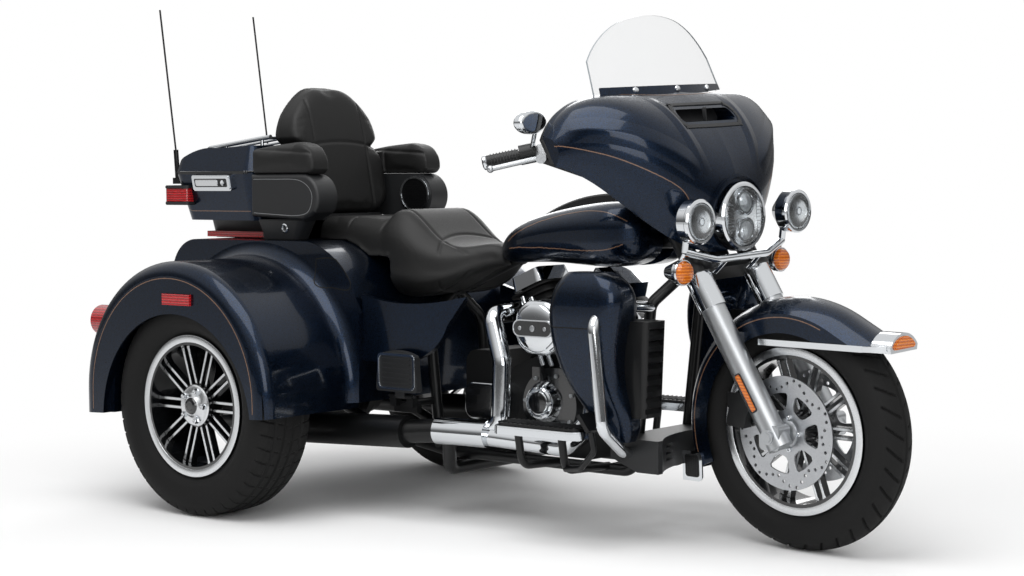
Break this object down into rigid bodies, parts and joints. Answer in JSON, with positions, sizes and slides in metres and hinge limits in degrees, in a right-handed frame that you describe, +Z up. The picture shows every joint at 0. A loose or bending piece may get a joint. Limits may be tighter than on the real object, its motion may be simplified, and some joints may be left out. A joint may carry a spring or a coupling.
{
  "type": "motorized touring trike",
  "caption": "Touring motor trike with a steered front wheel under a fork-mounted fairing, an open V engine, and a wide rear body with wheel arches, boot and top case.",
  "frame": {"origin": "on the ground at the middle of the overall length and width", "axes": "+X forward, +Y to the rider's left, +Z up"},
  "size_m": [2.628, 1.398, 1.5303],
  "materials": {
    "paint": "dark blue metallic gloss",
    "chrome": "polished",
    "satin_alloy": "satin",
    "black_metal": "semi-gloss black",
    "disc_steel": "ground",
    "black_plastic": "fine grain",
    "upholstery": "grained black vinyl",
    "tyre_rubber": "matte",
    "clear_screen": "clear",
    "lamp_glass": "clear over bright reflector",
    "amber_lens": "translucent amber",
    "red_lens": "translucent red"
  },
  "bodies": {
    "chassis": {"frame": "black_metal", "rear_axle": "black_metal", "engine_case": "black_metal", "cylinders": "black_metal", "rocker_covers": "chrome", "engine_covers": "chrome", "air_cleaner": "black_plastic", "exhaust_pipes": "chrome", "mufflers": "black_metal", "fuel_tank": "paint", "tank_console": "chrome", "seat": "upholstery", "side_covers": "paint", "rider_boards": "satin_alloy", "engine_guard": "chrome", "leg_shields": "paint", "radiators": "black_plastic", "lower_cowl": "black_plastic", "rear_body": "paint", "tail_lamps": "red_lens", "case_carrier": "black_plastic", "trunk_base": "paint", "trunk_latch": "chrome", "antennas": "black_metal", "backrest": "upholstery", "arm_pads": "upholstery", "speaker_pods": "black_plastic", "board_brackets": "black_metal"},
    "steering": {"fork_yokes": "black_metal", "fork_covers": "chrome", "fork_sliders": "satin_alloy", "front_calipers": "black_plastic", "front_guard": "paint", "guard_trim": "chrome", "fairing": "paint", "fairing_bracket": "black_metal", "dash": "black_plastic", "windscreen": "clear_screen", "headlamp": "lamp_glass", "spot_lamps": "chrome", "turn_signals": "amber_lens", "handlebar": "black_plastic", "hand_controls": "black_plastic", "mirrors": "chrome"},
    "front_wheel": {"front_tyre": "tyre_rubber", "front_rim": "black_metal", "front_discs": "disc_steel"},
    "rear_wheel_right": {"rear_tyre_right": "tyre_rubber", "rear_rim_right": "black_metal"},
    "rear_wheel_left": {"rear_tyre_left": "tyre_rubber", "rear_rim_left": "black_metal"},
    "trunk_lid": {"trunk_lid": "paint", "trunk_rack": "chrome"},
    "boot_door": {"boot_door": "paint"},
    "passenger_board_right": {"passenger_board_right": "black_plastic"},
    "passenger_board_left": {"passenger_board_left": "black_plastic"}
  },
  "joints": [
    {"name": "steering", "type": "hinge", "parent": "chassis", "child": "steering", "pos_m": [0.69381, 0, 0.8], "axis": [-0.4384, 0, 0.8988], "range_deg": [-21.5, 34.5]},
    {"name": "front_wheel_spin", "type": "hinge", "parent": "steering", "child": "front_wheel", "pos_m": [0.9847, -0.00581, 0.31986], "axis": [0.1017, 0.9936, 0.0496], "continuous": true},
    {"name": "rear_wheel_right_spin", "type": "hinge", "parent": "chassis", "child": "rear_wheel_right", "pos_m": [-0.685, -0.567, 0.324], "axis": [0, 1, 0], "continuous": true},
    {"name": "rear_wheel_left_spin", "type": "hinge", "parent": "chassis", "child": "rear_wheel_left", "pos_m": [-0.685, 0.567, 0.324], "axis": [0, 1, 0], "continuous": true},
    {"name": "trunk_lid_hinge", "type": "hinge", "parent": "chassis", "child": "trunk_lid", "pos_m": [-1, 0.29, 1.0035], "axis": [-1, 0, 0], "range_deg": [0, 80]},
    {"name": "boot_door_hinge", "type": "hinge", "parent": "chassis", "child": "boot_door", "pos_m": [-1.135, 0, 0.331], "axis": [0, -1, 0], "range_deg": [0, 90]},
    {"name": "passenger_board_right_fold", "type": "hinge", "parent": "chassis", "child": "passenger_board_right", "pos_m": [-0.159, -0.318, 0.358], "axis": [1, 0, 0], "range_deg": [0, 85]},
    {"name": "passenger_board_left_fold", "type": "hinge", "parent": "chassis", "child": "passenger_board_left", "pos_m": [-0.159, 0.318, 0.358], "axis": [-1, 0, 0], "range_deg": [0, 85]}
  ]
}
